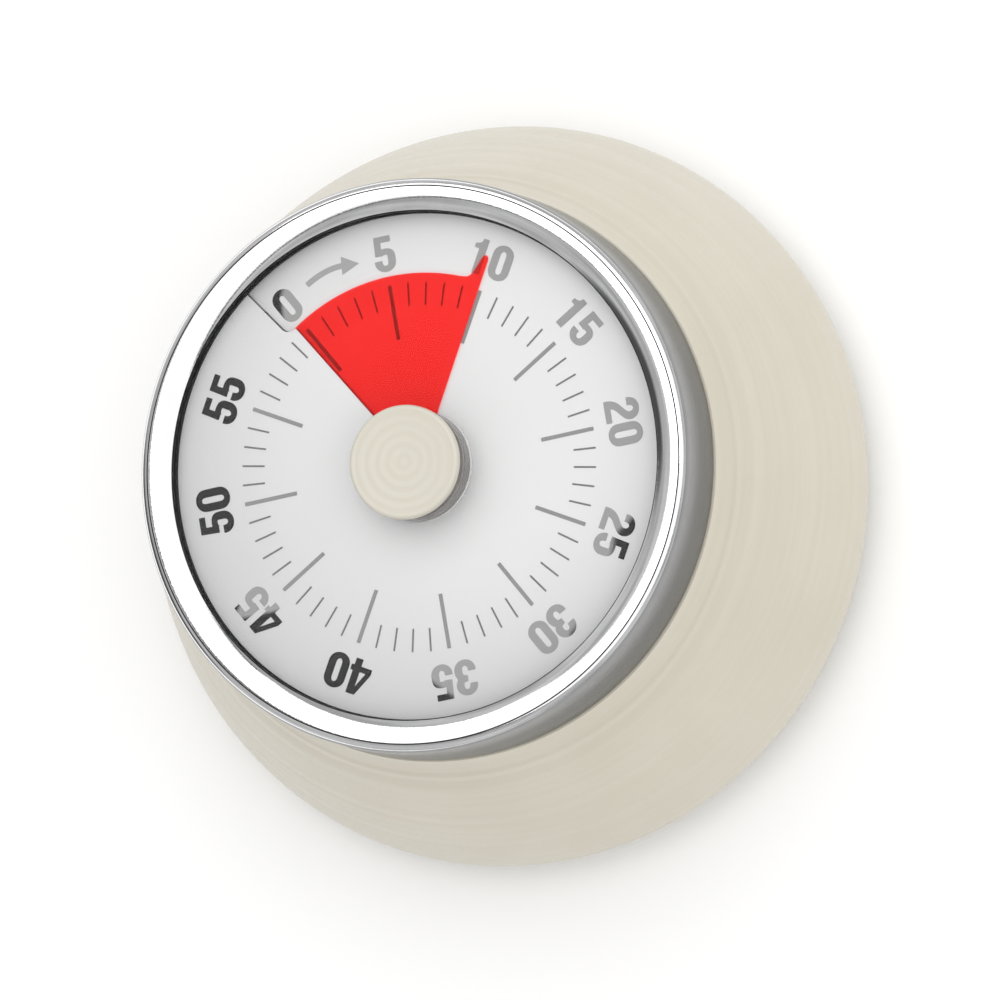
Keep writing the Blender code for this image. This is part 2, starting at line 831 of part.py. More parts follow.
def strike_work():
    """Cam, lever, hammer and bell: the bell sounds once the cam comes back to 0."""
    cam = arc(8.0, 100.0, 400.0, 30) + [polar(6.4, 42.0), polar(6.4, 82.0)]
    plate("strike_cam", cam, 28.7, 29.5, "zinc_steel", holes=[circle(2.5, 16)])
    arbor("hammer_arbor", HAMMER_AT, 11.6)
    reach = (3.0 - HAMMER_AT[0], -9.0 - HAMMER_AT[1])
    plate(
        "strike_lever",
        bar_outline((0.0, 0.0), reach, 1.8, 0.6),
        28.7,
        29.5,
        "zinc_steel",
        HAMMER_AT,
        holes=[circle(1.0, 10)],
    )
    head = (HAMMER_HEAD_AT[0] - HAMMER_AT[0], HAMMER_HEAD_AT[1] - HAMMER_AT[1])
    plate(
        "hammer_arm",
        bar_outline((0.0, 0.0), head, 1.6, 1.2),
        12.2,
        13.0,
        "zinc_steel",
        HAMMER_AT,
        holes=[circle(0.8, 10), circle(0.6, 8, head)],
    )
    lathe(
        "hammer_head",
        [
            (0.0, 13.3),
            (0.4, 13.3),
            (0.4, 11.9),
            (1.6, 11.9),
            (1.6, 8.9),
            (1.3, 8.6),
            (0.0, 8.6),
        ],
        "brass",
        (*HAMMER_HEAD_AT, 10.5),
        steps=12,
        closed=False,
    )
    coil("hammer_spring", HAMMER_AT, 1.5, 0.22, 17.0, 2.0, 3, 8, leg=5.0)
    inner = BELL_R - 0.9
    lathe(
        "bell",
        [
            (BELL_R, 13.5),
            (BELL_R, 8.4),
            (BELL_R - 0.9, 6.6),
            (BELL_R - 2.8, 5.5),
            (1.5, 5.5),
            (1.5, 6.3),
            (BELL_R - 3.2, 6.3),
            (inner - 0.8, 7.1),
            (inner, 8.6),
            (inner, 13.5),
        ],
        "bell_steel",
        (*BELL_AT, 6.0),
        steps=32,
    )
    lathe(
        "bell_post",
        [(0.0, 14.7), (2.3, 14.7), (2.3, 6.6), (1.2, 6.6), (1.2, 10.0), (0.0, 10.0)],
        "brass",
        (*BELL_AT, 10.0),
        steps=12,
        closed=False,
    )
    bolt("bell_screw", BELL_AT, 4.1, 2.4, 1.1, 0.9, 9.5)


def build():
    second_at, third_at, escape_at, balance_at = wheel_places()
    body_shell()
    front_ring()
    lens()
    dial_carrier()
    dial_plate()
    red_film()
    film_hub()
    knob()
    back_cover()
    back_fixings()
    frame_plates([second_at, third_at, escape_at, balance_at, HAMMER_AT])
    mainspring()
    gear_train(second_at, third_at, escape_at)
    ratchet_work()
    balance(balance_at)
    strike_work()


clear_scene()
TIMER = new_collection("Kitchen_Timer")
CUTTERS = new_collection("Cutters", hidden=True)
build()
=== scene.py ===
"""Looks of the clockwork kitchen timer: enamelled case, chromed ring, printed dial and red time-left film.

Lengths are in millimetres up to the point where a mesh is made, and MM scales them to metres.
Angles on the dial are in degrees clockwise from its 0 mark, which is at +Y.
"""

import json
import math

import bmesh
import bpy
from mathutils import Matrix, Vector, geometry


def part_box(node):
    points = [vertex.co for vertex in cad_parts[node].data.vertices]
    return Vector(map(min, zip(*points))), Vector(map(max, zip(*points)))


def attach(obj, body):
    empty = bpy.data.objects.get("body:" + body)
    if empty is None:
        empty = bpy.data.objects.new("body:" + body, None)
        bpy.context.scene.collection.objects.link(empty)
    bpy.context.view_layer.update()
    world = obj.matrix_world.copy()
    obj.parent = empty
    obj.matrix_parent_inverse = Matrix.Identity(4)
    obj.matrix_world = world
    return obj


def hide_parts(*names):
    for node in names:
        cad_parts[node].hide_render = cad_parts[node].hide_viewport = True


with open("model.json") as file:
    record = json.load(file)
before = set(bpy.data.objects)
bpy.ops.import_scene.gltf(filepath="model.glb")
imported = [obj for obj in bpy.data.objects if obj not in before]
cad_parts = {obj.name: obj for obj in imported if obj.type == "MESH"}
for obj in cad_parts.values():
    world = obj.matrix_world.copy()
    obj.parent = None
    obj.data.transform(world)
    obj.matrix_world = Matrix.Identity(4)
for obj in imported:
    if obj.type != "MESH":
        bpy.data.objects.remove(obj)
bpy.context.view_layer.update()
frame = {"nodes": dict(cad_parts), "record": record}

MM = 0.001

# Steps round a full circle
FINE = 288
SLEEVE_STEPS = 192
MEDIUM = 96
COARSE = 40

# Camera: the direction it looks along, its way up, and its place from the dial's centre in metres
LOOK = Vector((-0.17647, 0.28516, -0.94209))
PICTURE_UP = Vector((0.66441, 0.74069, 0.09974))
CAMERA_FROM_DIAL = Vector((0.47481, -0.76882, 2.51107))
LENS_LENGTH = 902.0

# Light tent: its light from the far side to the bright side. What the chrome mirrors in it: grey walls with a
# dark gap, and a white opening with a dark seam round it
TENT_LIGHT = (0.67, 1.37)
TENT_BRIGHT_SIDE = (0.81, -0.585, 0.02)
TENT_GAP = (-0.82, 0.52, 0.24)
TENT_GAP_EDGE = (0.90, 0.98)
TENT_GAP_SHADE = 0.2
TENT_WALL = (0.38, 0.62)
TENT_OPENING = (0.26, -0.02, 0.965)
TENT_EDGE = (0.785, 0.815)
TENT_SEAM = (0.755, 0.775)
TENT_SEAM_SHADE = 0.25
TENT_WHITE = (1.15, 1.15, 1.15)

# Lamp and floor, in metres and watts
LAMP_TOWARD = Vector((0.16, 0.38, 0.91))
LAMP_DISTANCE = 1.3
LAMP_SIDE = 1.1
LAMP_POWER = 4.0
FLOOR_R = 4.0

# Bezel: the inner foot of its crowned face, how far the crown rolls, and its tilt at the foot, then the limits
# of its inside and groove, which carry painted shade, and of its satin side
BEZEL_FOOT = (27.35, 38.60)
BEZEL_ROLL = 1.85
BEZEL_TILT = 36.0
BEZEL_INSIDE_R = 27.32
BEZEL_GROOVE_R = (29.83, 29.95)
BEZEL_SIDE_TOP = 38.75
BEZEL_SIDE_R = 30.4

# Lens, and the dark ring below it that stands as painted shade
LENS_LOW = 37.5
LENS_HIGH = 38.1
LENS_HOLE_R = 6.2
LENS_R = 29.05
GAP_SHADE_RING_R = (27.10, 27.85)
GAP_SHADE_RING_Z = (37.06, 37.47)

# Dial: a sheet that rises from one lip of its slit round to the other; the slit steps aside near its edge
DIAL_Z = 36.6
DIAL_THICK = 0.25
DIAL_HOLE_R = 4.8
DIAL_R = 27.9
RISE = 0.6
SLIT_ANGLE = -2.1
SLIT_STEP = -3.2
SLIT_STEP_R = 20.6
SLIT_CORNER = 1.1
SLIT_GAP = 0.12

# Print: how far the ink stands out of the paper and reaches into it, and the ticks
INK = 0.02
INK_SUNK = 0.01
MINUTE = 6.0
TICK_R = 19.85
LONG_TICK_R = 13.9
SHORT_TICK_R = 17.35
LONG_TICK_WIDTH = 0.43
SHORT_TICK_WIDTH = 0.20

# Film: its sizes, its angle ahead of the 0 mark, its whole angle, and how much light its surface stops
FILM_THICK = 0.12
FILM_R = 20.8
FILM_HOLE_R = 3.5
FILM_LEAD = 59.4
FILM_SPAN = 359.0
FILM_SURFACE = 0.10
# The film's outer edge: an angle behind its leading edge, and the radius there
FILM_EDGE = (
    (0.0, 23.15),
    (0.25, 23.45),
    (0.6, 23.6),
    (1.1, 23.6),
    (1.5, 23.45),
    (1.9, 23.1),
    (2.4, 22.3),
    (3.1, 21.5),
    (3.8, 21.1),
    (4.6, 20.9),
    (6.5, FILM_R),
)
FILM_POINTER_STEPS = (
    *(0.0, 0.12, 0.25, 0.4, 0.6, 0.85, 1.1, 1.3, 1.5, 1.7, 1.9),
    *(2.15, 2.4, 2.75, 3.1, 3.45, 3.8, 4.2, 4.6, 5.5, 6.5),
)

# Numerals, in shares of their height
NUMERAL_HEIGHT = 3.88
NUMERAL_R = 23.3
STEM = 0.225
BAR = 0.175
DIGIT_WIDTH = 0.62
ONE_WIDTH = 0.57
DIGIT_GAP = 0.055

# Where a painted reflection of the lens ends and the ink turns from pale to its own dark tone: an angle on the
# dial, and the radius there
PAINTED_VEIL_LINE_LOW = 19.0
PAINTED_VEIL_LINE_SPAN = 10.0
PAINTED_VEIL_LINE = (
    (0.0, 24.4),
    (10.0, 28.0),
    (132.0, 28.0),
    (150.0, 23.3),
    (160.0, 24.4),
    (177.0, 25.0),
    (183.0, 27.0),
    (206.0, 27.0),
    (213.0, 24.2),
    (225.0, 20.0),
    (264.0, 20.0),
    (268.0, 22.5),
    (273.0, 26.0),
    (281.0, 20.0),
    (350.0, 20.0),
    (357.0, 22.6),
    (360.0, 24.4),
)

# Arrow that shows which way to turn the knob: the ends and the bend of its shaft, its tip and its widths
ARROW_TAIL = (3.02, 23.48)
ARROW_BEND = (5.70, 23.44)
ARROW_NECK = (7.35, 22.40)
ARROW_TIP = (8.92, 21.34)
ARROW_WIDTH = 0.62
ARROW_HEAD_WIDTH = 2.0

# Knob cap: its dished face, the turned ripple on it, and the spacing of the paler bands in its paint
CAP_FACE_R = 5.55
CAP_FACE_Z = 41.93
CAP_DISH = 0.07
CAP_RIPPLE = 0.006
CAP_RIPPLE_PITCH = 1.25
CAP_BAND_PITCH = 1.15

# Back: the cover and its openings, and the cover's screws
COVER_R = 36.5
COVER_LOW = 1.05
COVER_HIGH = 2.80
COVER_BEVEL = 0.12
MAGNET_HOLE_R = 7.4
SCREW_HOLE_R = 1.5
SOUND_SLOTS = (-8.0, -4.0, 0.0, 4.0, 8.0)
SOUND_SLOT_HALF_LENGTH = 6.0
SOUND_SLOT_HALF_WIDTH = 0.7
THREAD_START = 1.3
THREAD_LENGTH = 6.0
THREAD_TURNS = 12
SCREW_SLOT_HALF_LENGTH = 3.0
SCREW_SLOT_HALF_WIDTH = 0.28
SCREW_SLOT_Z = (-0.5, 0.46)

# Paint and paper
BODY_DARK = (0.535, 0.495, 0.402)
BODY_LIGHT = (0.562, 0.527, 0.436)
CAP_DARK = (0.555, 0.520, 0.435)
CAP_LIGHT = (0.590, 0.565, 0.485)
# The paper's tone is painted light about a spot and painted shade away from it
PAPER_LIGHT = (0.695, 0.695, 0.695)
PAPER_PAINTED_SHADE = (0.535, 0.535, 0.535)
PAPER_PAINTED_LIGHT_SPOT = (8.0, 0.5)


# ---------------------------------------------------------------- node trees


class Tree:
    """A short way to write a material's or the world's node tree."""

    def __init__(self, owner):
        owner.use_nodes = True
        self.nodes = owner.node_tree.nodes
        self.links = owner.node_tree.links
        self.nodes.clear()

    def add(self, kind, inputs=None, **settings):
        node = self.nodes.new(kind)
        for name, value in settings.items():
            setattr(node, name, value)
        for name, value in (inputs or {}).items():
            if isinstance(value, bpy.types.NodeSocket):
                self.links.new(value, node.inputs[name])
            else:
                node.inputs[name].default_value = value
        return node

    def math(self, operation, *values):
        node = self.add("ShaderNodeMath", operation=operation)
        for index, value in enumerate(values):
            if isinstance(value, bpy.types.NodeSocket):
                self.links.new(value, node.inputs[index])
            else:
                node.inputs[index].default_value = value
        return node.outputs[0]

    def ramp(self, value, low, high, to_low=0.0, to_high=1.0, smooth=True):
        kind = "SMOOTHSTEP" if smooth else "LINEAR"
        node = self.add(
            "ShaderNodeMapRange",
            {"Value": value, "From Min": low, "From Max": high, "To Min": to_low, "To Max": to_high},
            interpolation_type=kind,
        )
        return node.outputs[0]

    def mix(self, share, first, second):
        node = self.add("ShaderNodeMix", data_type="RGBA")
        for index, value in ((0, share), (6, first), (7, second)):
            if isinstance(value, bpy.types.NodeSocket):
                self.links.new(value, node.inputs[index])
            elif index:
                node.inputs[index].default_value = (*value, 1.0)
            else:
                node.inputs[index].default_value = value
        return node.outputs[2]

    def place(self):
        """The point on the object, in millimetres."""
        where = self.add("ShaderNodeTexCoord").outputs["Object"]
        scaled = self.add("ShaderNodeVectorMath", operation="SCALE", inputs={0: where, "Scale": 1 / MM})
        return scaled.outputs[0]

    def axes(self, place):
        return self.add("ShaderNodeSeparateXYZ", {"Vector": place}).outputs

    def round_axis(self, place, centre=(0.0, 0.0)):
        """Radius and angle about a vertical axis, and height."""
        x, y, z = self.axes(place)
        across = self.math("SUBTRACT", x, centre[0])
        along = self.math("SUBTRACT", y, centre[1])
        across_squared = self.math("MULTIPLY", across, across)
        square = self.math("MULTIPLY_ADD", along, along, across_squared)
        return self.math("SQRT", square), self.math("ARCTAN2", along, across), z

    def vector(self, x, y, z):
        return self.add("ShaderNodeCombineXYZ", {"X": x, "Y": y, "Z": z}).outputs[0]

    def noise(self, where, scale, detail=3.0, roughness=0.5):
        made = self.add(
            "ShaderNodeTexNoise",
            {"Vector": where, "Scale": scale, "Detail": detail, "Roughness": roughness},
        )
        return made.outputs["Fac"]

    def bump(self, height, strength, deep):
        inputs = {"Height": height, "Strength": strength, "Distance": deep * MM}
        return self.add("ShaderNodeBump", inputs).outputs["Normal"]

    def facing(self, where, direction):
        """How far a direction of the world points this way: the cosine between the two."""
        made = self.add("ShaderNodeVectorMath", operation="DOT_PRODUCT", inputs={0: where, 1: direction})
        return made.outputs["Value"]

    def finish(self, shader):
        self.add("ShaderNodeOutputMaterial", {"Surface": shader})


def new_material(name):
    made = bpy.data.materials.new(name)
    return made, Tree(made)


def moulded(name, colour, roughness, grain=9.0, depth=0.012, mottle=0.05, specular=0.5):
    """Moulded plastic, rubber or ceramic: slight colour mottling, uneven gloss and a fine grain."""
    made, tree = new_material(name)
    place = tree.place()
    broad = tree.noise(place, 0.35, 2.0)
    fine = tree.noise(place, grain, 4.0)
    darker = [c * (1 - mottle) for c in colour]
    lighter = [min(1.0, c * (1 + mottle)) for c in colour]
    shader = tree.add(
        "ShaderNodeBsdfPrincipled",
        {
            "Base Color": tree.mix(tree.ramp(broad, 0.3, 0.7), darker, lighter),
            "Roughness": tree.ramp(fine, 0.3, 0.7, roughness - 0.05, roughness + 0.05),
            "Normal": tree.bump(fine, 0.6, depth),
            "Specular IOR Level": specular,
        },
    )
    tree.finish(shader.outputs[0])
    return made


def turned_metal(name, colour, roughness, lines=22.0, depth=0.004, centre=(0.0, 0.0), flat=True, painted_root_shade=None):
    """Metal with the fine circular lines of a lathe, about a vertical axis. It can take painted shade, darker
    towards its root.
    """
    made, tree = new_material(name)
    place = tree.place()
    radius, angle, z = tree.round_axis(place, centre)
    across = radius if flat else z
    streak = tree.noise(tree.vector(tree.math("MULTIPLY", across, lines), angle, 0.0), 1.0, 3.0, 0.6)
    stain = tree.ramp(tree.noise(place, 0.5, 2.0), 0.35, 0.65)
    tone = tree.mix(stain, [c * 0.94 for c in colour], colour)
    if painted_root_shade:
        # Painted shade: darker towards the root, where the side meets the case
        foot, top, shade = painted_root_shade
        tone = tree.mix(tree.ramp(z, foot, top), [c * shade for c in colour], tone)
    shader = tree.add(
        "ShaderNodeBsdfPrincipled",
        {
            "Base Color": tone,
            "Metallic": 1.0,
            "Roughness": tree.ramp(streak, 0.3, 0.7, roughness * 0.8, roughness * 1.25),
            "Normal": tree.bump(streak, 0.5, depth),
        },
    )
    tree.finish(shader.outputs[0])
    return made


def plain_metal(name, colour, roughness, grain=14.0, depth=0.006, tint=0.08):
    """Stamped or plated metal: faint stains, uneven gloss and a fine grain."""
    made, tree = new_material(name)
    place = tree.place()
    stain = tree.noise(place, 0.6, 3.0)
    fine = tree.noise(place, grain, 4.0)
    darker = [c * (1 - tint) for c in colour]
    shader = tree.add(
        "ShaderNodeBsdfPrincipled",
        {
            "Base Color": tree.mix(tree.ramp(stain, 0.35, 0.65), darker, colour),
            "Metallic": 1.0,
            "Roughness": tree.ramp(fine, 0.3, 0.7, roughness * 0.8, roughness * 1.2),
            "Normal": tree.bump(fine, 0.5, depth),
        },
    )
    tree.finish(shader.outputs[0])
    return made


def cream_enamel():
    """Glossy cream paint over a spun case: faint turning lines, with a thin clear coat."""
    made, tree = new_material("cream_enamel")
    place = tree.place()
    _, angle, z = tree.round_axis(place)
    stretched = tree.vector(tree.math("MULTIPLY", z, 1.3), tree.math("MULTIPLY", angle, 0.7), 0.0)
    spun = tree.noise(stretched, 1.0, 3.0)
    broad = tree.noise(place, 0.09, 2.0)
    orange_peel = tree.noise(place, 1.6, 2.0)
    share = tree.math("ADD", tree.math("MULTIPLY", spun, 0.5), tree.math("MULTIPLY", broad, 0.5))
    height = tree.math("ADD", tree.math("MULTIPLY", spun, 0.8), tree.math("MULTIPLY", orange_peel, 0.2))
    shader = tree.add(
        "ShaderNodeBsdfPrincipled",
        {
            "Base Color": tree.mix(tree.ramp(share, 0.3, 0.7), BODY_DARK, BODY_LIGHT),
            "Roughness": tree.ramp(orange_peel, 0.3, 0.7, 0.36, 0.44),
            "Normal": tree.bump(height, 0.12, 0.04),
            "Coat Weight": 0.35,
            "Coat Roughness": 0.18,
        },
    )
    tree.finish(shader.outputs[0])
    return made


def cap_enamel():
    """The case's paint on the knob, where the turning rings show as paler and darker bands."""
    made, tree = new_material("cap_enamel")
    place = tree.place()
    radius, angle, _ = tree.round_axis(place)
    wobble = tree.noise(place, 0.5, 2.0)
    phase = tree.math("MULTIPLY", radius, math.tau / CAP_BAND_PITCH)
    band = tree.math("SINE", tree.math("ADD", phase, tree.math("MULTIPLY", wobble, 2.2)))
    fine = tree.noise(tree.vector(tree.math("MULTIPLY", radius, 9.0), angle, 0.0), 1.0, 2.0)
    share = tree.math("ADD", tree.math("MULTIPLY", band, 0.20), fine)
    shader = tree.add(
        "ShaderNodeBsdfPrincipled",
        {
            "Base Color": tree.mix(tree.ramp(share, 0.1, 0.9), CAP_DARK, CAP_LIGHT),
            "Roughness": tree.ramp(fine, 0.3, 0.7, 0.38, 0.46),
            "Normal": tree.bump(fine, 0.4, 0.02),
            "Coat Weight": 0.3,
            "Coat Roughness": 0.2,
        },
    )
    tree.finish(shader.outputs[0])
    return made


def dial_paper():
    """White printed sheet with painted light and shade: brightest about a spot beside the knob, darker away
    from it.
    """
    made, tree = new_material("dial_paper")
    place = tree.place()
    away = tree.round_axis(place, PAPER_PAINTED_LIGHT_SPOT)[0]
    fibre = tree.noise(place, 3.0, 4.0)
    cloud = tree.noise(place, 0.12, 2.0)
    # Painted shade: the paper darkens with distance from the painted bright spot
    share = tree.math("ADD", tree.ramp(away, 12.0, 36.0, 0.0, 0.95), tree.math("MULTIPLY", cloud, 0.05))
    shader = tree.add(
        "ShaderNodeBsdfPrincipled",
        {
            "Base Color": tree.mix(share, PAPER_LIGHT, PAPER_PAINTED_SHADE),
            "Roughness": tree.ramp(fibre, 0.3, 0.7, 0.50, 0.60),
            "Normal": tree.bump(fibre, 0.15, 0.01),
            "Specular IOR Level": 0.3,
        },
    )
    tree.finish(shader.outputs[0])
    return made


def printing_ink(name, dark, pale):
    """Ink under a painted reflection of the lens: its own dark tone outside a wavy line round the dial, paled
    by the painted reflection inside it.
    """
    made, tree = new_material(name)
    place = tree.place()
    x, y, _ = tree.axes(place)
    radius = tree.round_axis(place)[0]
    turned = tree.math("DIVIDE", tree.math("ARCTAN2", x, y), math.tau)
    clockwise = tree.math("FRACT", tree.math("ADD", turned, 1.0))
    line = tree.add("ShaderNodeValToRGB", {"Fac": clockwise})
    stops = line.color_ramp.elements
    for degrees, _ in PAINTED_VEIL_LINE[1:-1]:
        stops.new(degrees / 360.0)
    for stop, (degrees, line_r) in zip(stops, PAINTED_VEIL_LINE):
        share = (line_r - PAINTED_VEIL_LINE_LOW) / PAINTED_VEIL_LINE_SPAN
        stop.position = degrees / 360.0
        stop.color = (share, share, share, 1.0)
    edge = tree.math("ADD", tree.math("MULTIPLY", line.outputs["Color"], PAINTED_VEIL_LINE_SPAN), PAINTED_VEIL_LINE_LOW)
    grain = tree.noise(place, 6.0, 3.0)
    outside = tree.math("SUBTRACT", tree.math("ADD", radius, tree.math("MULTIPLY", grain, 0.3)), edge)
    shader = tree.add(
        "ShaderNodeBsdfPrincipled",
        {
            # Painted reflection: inside the line the ink is shown at the paler tone
            "Base Color": tree.mix(tree.ramp(outside, -0.35, 0.65), (pale,) * 3, (dark,) * 3),
            "Roughness": tree.ramp(grain, 0.3, 0.7, 0.45, 0.60),
            "Specular IOR Level": 0.2,
        },
    )
    tree.finish(shader.outputs[0])
    return made


def film_red():
    """Clear red film with a painted glow from a faint emission: the dial's print shows through it."""
    made, tree = new_material("film_red")
    place = tree.place()
    cloud = tree.noise(place, 0.3, 2.0)
    fine = tree.noise(place, 4.0, 2.0)
    dyed = tree.add(
        "ShaderNodeBsdfPrincipled",
        {
            "Base Color": tree.mix(cloud, (0.98, 0.040, 0.036), (1.0, 0.050, 0.045)),
            "Roughness": tree.ramp(fine, 0.3, 0.7, 0.30, 0.36),
            "Specular IOR Level": 0.25,
            # Painted glow: the emission makes the film shine with no lamp on it
            "Emission Color": (1.0, 0.06, 0.055, 1.0),
            "Emission Strength": 0.15,
        },
    )
    # Painted light: the clear part passes slightly more red light than reaches it
    clear = tree.add("ShaderNodeBsdfTransparent", {"Color": (1.02, 0.370, 0.360, 1.0)})
    both = tree.add("ShaderNodeMixShader", {0: FILM_SURFACE, 1: clear.outputs[0], 2: dyed.outputs[0]})
    tree.finish(both.outputs[0])
    return made


def lens_clear():
    """Clear flat plastic that lets the lamps' light through to the dial."""
    made, tree = new_material("lens_clear")
    place = tree.place()
    smear = tree.noise(place, 0.15, 2.0)
    glass = tree.add(
        "ShaderNodeBsdfPrincipled",
        {
            "Base Color": (1.0, 1.0, 1.0, 1.0),
            "Roughness": tree.ramp(smear, 0.3, 0.7, 0.0, 0.01),
            "IOR": 1.12,
            "Transmission Weight": 1.0,
        },
    )
    clear = tree.add("ShaderNodeBsdfTransparent")
    path = tree.add("ShaderNodeLightPath").outputs
    lighting = tree.math("MAXIMUM", path["Is Shadow Ray"], path["Is Diffuse Ray"])
    both = tree.add("ShaderNodeMixShader", {0: lighting, 1: glass.outputs[0], 2: clear.outputs[0]})
    tree.finish(both.outputs[0])
    return made


# ---------------------------------------------------------------- mesh helpers


def mesh_from(name, bm):
    mesh = bpy.data.meshes.new(name)
    bm.to_mesh(mesh)
    bm.free()
    return mesh


def smooth_mesh(mesh, sharp):
    """Smooth shading, with edges kept sharp above this angle in degrees."""
    for polygon in mesh.polygons:
        polygon.use_smooth = True
    mesh.set_sharp_from_angle(angle=math.radians(sharp))


def linked_object(name, data):
    made = bpy.data.objects.new(name, data)
    bpy.context.scene.collection.objects.link(made)
    return made


def solid_mesh(name, points, faces):
    """A mesh from points in millimetres."""
    bm = bmesh.new()
    corners = [bm.verts.new(Vector(point) * MM) for point in points]
    for face in faces:
        bm.faces.new([corners[index] for index in face])
    bmesh.ops.recalc_face_normals(bm, faces=bm.faces[:])
    return mesh_from(name, bm)


def add_piece(name, points, faces, material, body, replaced=(), sharp=35.0):
    """A piece from points in millimetres, which rides on a body and stands for CAD nodes."""
    mesh = solid_mesh(name, points, faces)
    smooth_mesh(mesh, sharp)
    mesh.materials.append(material)
    piece = linked_object(name, mesh)
    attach(piece, body)
    if replaced:
        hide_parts(*replaced)
    return piece


def polar(radius, degrees, centre=(0.0, 0.0)):
    turn = math.radians(degrees)
    return (centre[0] + radius * math.cos(turn), centre[1] + radius * math.sin(turn))


def rounded(profile, corners):
    """Replaces some corners of a profile with small arcs. corners maps a corner's index to its reach."""
    made = []
    for index, point in enumerate(profile):
        reach = corners.get(index, 0.0)
        if not reach:
            made.append(point)
            continue
        here = Vector(point)
        before = (Vector(profile[index - 1]) - here).normalized() * reach
        after = (Vector(profile[(index + 1) % len(profile)]) - here).normalized() * reach
        for step in range(6):
            t = step / 5
            made.append(tuple(here + before * (1 - t) ** 2 + after * t**2))
    return made


def curve_through(points, per_span):
    """A Catmull-Rom curve through profile points."""
    made = []
    last = len(points) - 1
    for i in range(last):
        p0, p1, p2, p3 = (Vector(points[min(max(j, 0), last)]) for j in range(i - 1, i + 3))
        for step in range(per_span):
            t = step / per_span
            bend = (2 * p0 - 5 * p1 + 4 * p2 - p3) * t * t + (3 * p1 - p0 - 3 * p2 + p3) * t**3
            made.append(tuple(0.5 * (2 * p1 + (p2 - p0) * t + bend)))
    made.append(tuple(points[last]))
    return made


def lathe(profile, steps, centre=(0.0, 0.0)):
    """Points and faces of a closed profile of (radius, height) turned about a vertical axis."""
    points, rings = [], []
    for radius, height in profile:
        if radius < 1e-6:
            rings.append([len(points)] * steps)
            points.append((*centre, height))
            continue
        rings.append(list(range(len(points), len(points) + steps)))
        points += [(*polar(radius, 360.0 * i / steps, centre), height) for i in range(steps)]
    faces = []
    for low, high in zip(rings, rings[1:] + rings[:1]):
        for i in range(steps):
            corners = (low[i], low[(i + 1) % steps], high[(i + 1) % steps], high[i])
            face = list(dict.fromkeys(corners))
            if len(face) > 2:
                faces.append(face)
    return points, faces


def slab(rows, thickness):
    """Points and faces of a sheet of even thickness whose middle surface is a grid of points."""
    half = thickness / 2
    tall, wide = len(rows), len(rows[0])
    points = [(x, y, z + side * half) for side in (1, -1) for row in rows for x, y, z in row]
    under = tall * wide

    def at(i, j):
        return i * wide + j

    faces = []
    for i in range(tall - 1):
        for j in range(wide - 1):
            square = (at(i, j), at(i, j + 1), at(i + 1, j + 1), at(i + 1, j))
            faces.append(square)
            faces.append(tuple(under + corner for corner in reversed(square)))
    border = [at(0, j) for j in range(wide)]
    border += [at(i, wide - 1) for i in range(1, tall)]
    border += [at(tall - 1, j) for j in range(wide - 2, -1, -1)]
    border += [at(i, 0) for i in range(tall - 2, 0, -1)]
    for first, second in zip(border, border[1:] + border[:1]):
        faces.append((first, second, under + second, under + first))
    return points, faces


def prism(shapes, low, high):
    """Points and faces of flat shapes joined and raised between two heights, each a function of (x, y)."""
    points, faces = [], []
    for shape in shapes:
        faces.append(list(range(len(points), len(points) + len(shape))))
        points += [Vector(corner) for corner in shape]
    flat, _, triangles, _, _, sources = geometry.delaunay_2d_cdt(points, [], faces, 1, 1e-5)
    triangles = [triangle for triangle, source in zip(triangles, sources) if source]
    used = sorted({corner for triangle in triangles for corner in triangle})
    order = {corner: index for index, corner in enumerate(used)}
    triangles = [[order[corner] for corner in triangle] for triangle in triangles]
    flat = [flat[corner] for corner in used]
    count = len(flat)
    solid = [(x, y, high(x, y)) for x, y in flat] + [(x, y, low(x, y)) for x, y in flat]
    edges = set()
    for a, b, c in triangles:
        edges |= {(a, b), (b, c), (c, a)}
    faces = [list(triangle) for triangle in triangles]
    faces += [[count + corner for corner in reversed(triangle)] for triangle in triangles]
    faces += [[b, a, count + a, count + b] for a, b in sorted(edges) if (b, a) not in edges]
    return solid, faces


# ---------------------------------------------------------------- case


def case_shell(material):
    """The enamelled case, with the faint turned ridges that the spinning left on its wall."""
    wall = [
        (30.90, 29.50),
        (31.20, 28.60),
        (32.00, 27.00),
        (32.90, 25.50),
        (34.30, 22.80),
        (36.00, 19.10),
        (37.50, 15.50),
        (38.70, 11.80),
        (39.55, 8.80),
        (40.00, 6.00),
        (39.85, 4.60),
        (39.20, 3.00),
        (38.20, 1.70),
        (37.10, 1.00),
    ]
    ridges = (
        (26.6, 0.35, 0.10),
        (25.7, 0.45, -0.08),
        (24.3, 0.60, 0.06),
        (22.9, 0.60, -0.05),
        (18.9, 0.70, 0.06),
        (17.6, 0.60, -0.05),
        (13.6, 0.90, 0.05),
        (12.4, 0.70, -0.04),
    )
    outside = []
    for radius, height in curve_through(wall, 12):
        lift = sum(deep * math.exp(-(((height - at) / wide) ** 2)) for at, wide, deep in ridges)
        outside.append((radius + lift, height))
    outside = [(min(radius, 40.0), height) for radius, height in outside]
    neck = [(27.0, 33.7), (29.1, 33.7), (29.1, 29.9), (29.3, 29.6), (30.5, 29.6)]
    inside = [
        (36.8, 1.3),
        (36.8, 3.1),
        (35.4, 3.1),
        (35.4, 4.1),
        (38.0, 6.0),
        (37.5, 8.8),
        (35.4, 15.4),
        (32.3, 22.0),
        (27.0, 28.2),
    ]
    points, faces = lathe(neck + outside + inside, FINE)
    add_piece("case_shell", points, faces, material, "case", ["body_shell"], 40.0)


def arc_from_tilt(start, run, tilt, steps):
    """Profile points of a crown that starts at this tilt and levels out after the run, its end left off."""
    made = []
    for i in range(steps):
        t = i / steps
        rise = run * math.radians(tilt) * (t - t * t / 2)
        made.append((start[0] + run * t, start[1] + rise))
    return made


